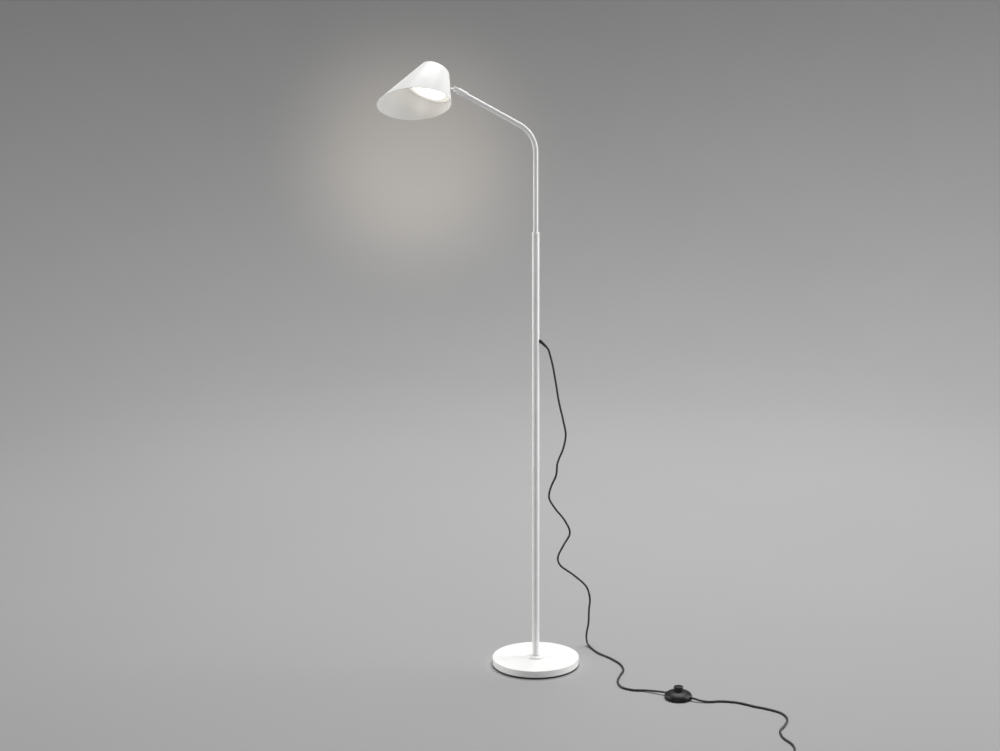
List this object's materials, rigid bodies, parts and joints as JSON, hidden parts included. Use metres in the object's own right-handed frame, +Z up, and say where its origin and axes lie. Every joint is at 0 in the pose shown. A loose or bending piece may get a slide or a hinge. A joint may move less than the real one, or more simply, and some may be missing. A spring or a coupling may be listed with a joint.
{
  "type": "floor lamp",
  "caption": "adjustable floor lamp: weighted round base, slim two-stage mast with a bent swivelling arm, conical LED shade on a tilting knuckle, mains cord with foot switch",
  "frame": {"origin": "centre of the base's underside, on the floor", "axes": "+Z up along the mast; the arm points along -X at rest; the cord leaves the mast on its +X side; the switch lies on the -Y side"},
  "size_m": [1.1371, 0.8864, 1.5877],
  "materials": {
    "white_paint": "satin powder coat",
    "white_plastic": "matt",
    "black_plastic": "satin",
    "black_rubber": "matt",
    "cast_iron": "as cast",
    "steel": "zinc plated",
    "brass": "plated",
    "aluminium": "rolled sheet",
    "opal": "opal",
    "circuit_board": "white solder mask",
    "led_phosphor": "matt",
    "nylon": "natural"
  },
  "bodies": {
    "stand": {"base_pad": "black_rubber", "base_weight": "cast_iron", "base_cover": "white_paint", "mast_flange": "white_paint", "foot_washer": "steel", "foot_bolt": "steel", "mast_tube": "white_paint", "foot_insert": "steel", "mast_collar": "white_plastic", "friction_ring": "black_rubber", "cord_clamp": "nylon", "cord_relief": "black_rubber", "coiled_lead": "black_rubber", "switch_base": "black_plastic", "switch_cover": "black_plastic", "switch_contacts": "nylon", "button_spring": "steel", "switch_screw_1": "steel", "switch_screw_2": "steel", "switch_foot": "black_rubber", "switch_collar_1": "black_rubber", "switch_collar_2": "black_rubber", "cord_upper": "black_rubber", "cord_lower": "black_rubber", "cord_tail": "black_rubber", "cord_coil": "black_rubber", "coil_tie": "black_rubber", "plug_sleeve": "black_rubber", "plug_body": "black_plastic", "plug_pin_1": "brass", "plug_pin_2": "brass"},
    "slider": {"guide_bush": "nylon"},
    "arm": {"arm_tube": "white_paint", "arm_lead": "black_rubber", "guide_clip_1": "steel", "guide_clip_2": "steel", "arm_sleeve": "white_paint", "knuckle_pin": "steel", "sleeve_screw": "steel"},
    "knuckle": {"knuckle": "white_paint", "knuckle_washer_1": "nylon", "knuckle_washer_2": "nylon"},
    "head": {"shade": "white_paint", "outer_washer": "nylon", "inner_washer": "steel", "stem_nut": "steel", "head_bracket": "aluminium", "led_board": "circuit_board", "led_emitter": "led_phosphor", "board_screw_1": "steel", "board_screw_2": "steel", "board_screw_3": "steel", "led_driver": "white_plastic", "head_lead": "white_plastic", "reflector": "white_plastic", "diffuser": "opal", "bezel_ring": "white_plastic"},
    "button": {"switch_button": "black_plastic"}
  },
  "joints": [
    {"name": "mast_slide", "type": "slide", "parent": "stand", "child": "slider", "axis": [0, 0, 1], "range_m": [-0.15, 0], "deforming": ["coiled_lead"]},
    {"name": "arm_swivel", "type": "hinge", "parent": "slider", "child": "arm", "pos_m": [0, 0, 1.091], "axis": [0, 0, 1], "range_deg": [-170, 170]},
    {"name": "head_tilt", "type": "hinge", "parent": "arm", "child": "knuckle", "pos_m": [-0.20087, 0, 1.51757], "axis": [0, 1, 0], "range_deg": [-25, 60]},
    {"name": "head_roll", "type": "hinge", "parent": "knuckle", "child": "head", "pos_m": [-0.20087, 0, 1.51757], "axis": [1, 0, 0], "range_deg": [-104, 165]},
    {"name": "button_press", "type": "slide", "parent": "stand", "child": "button", "axis": [0, 0, -1], "range_m": [0, 0.004], "stiffness_N_per_m": 1000, "springref_m": -0.002, "deforming": ["button_spring"]}
  ]
}
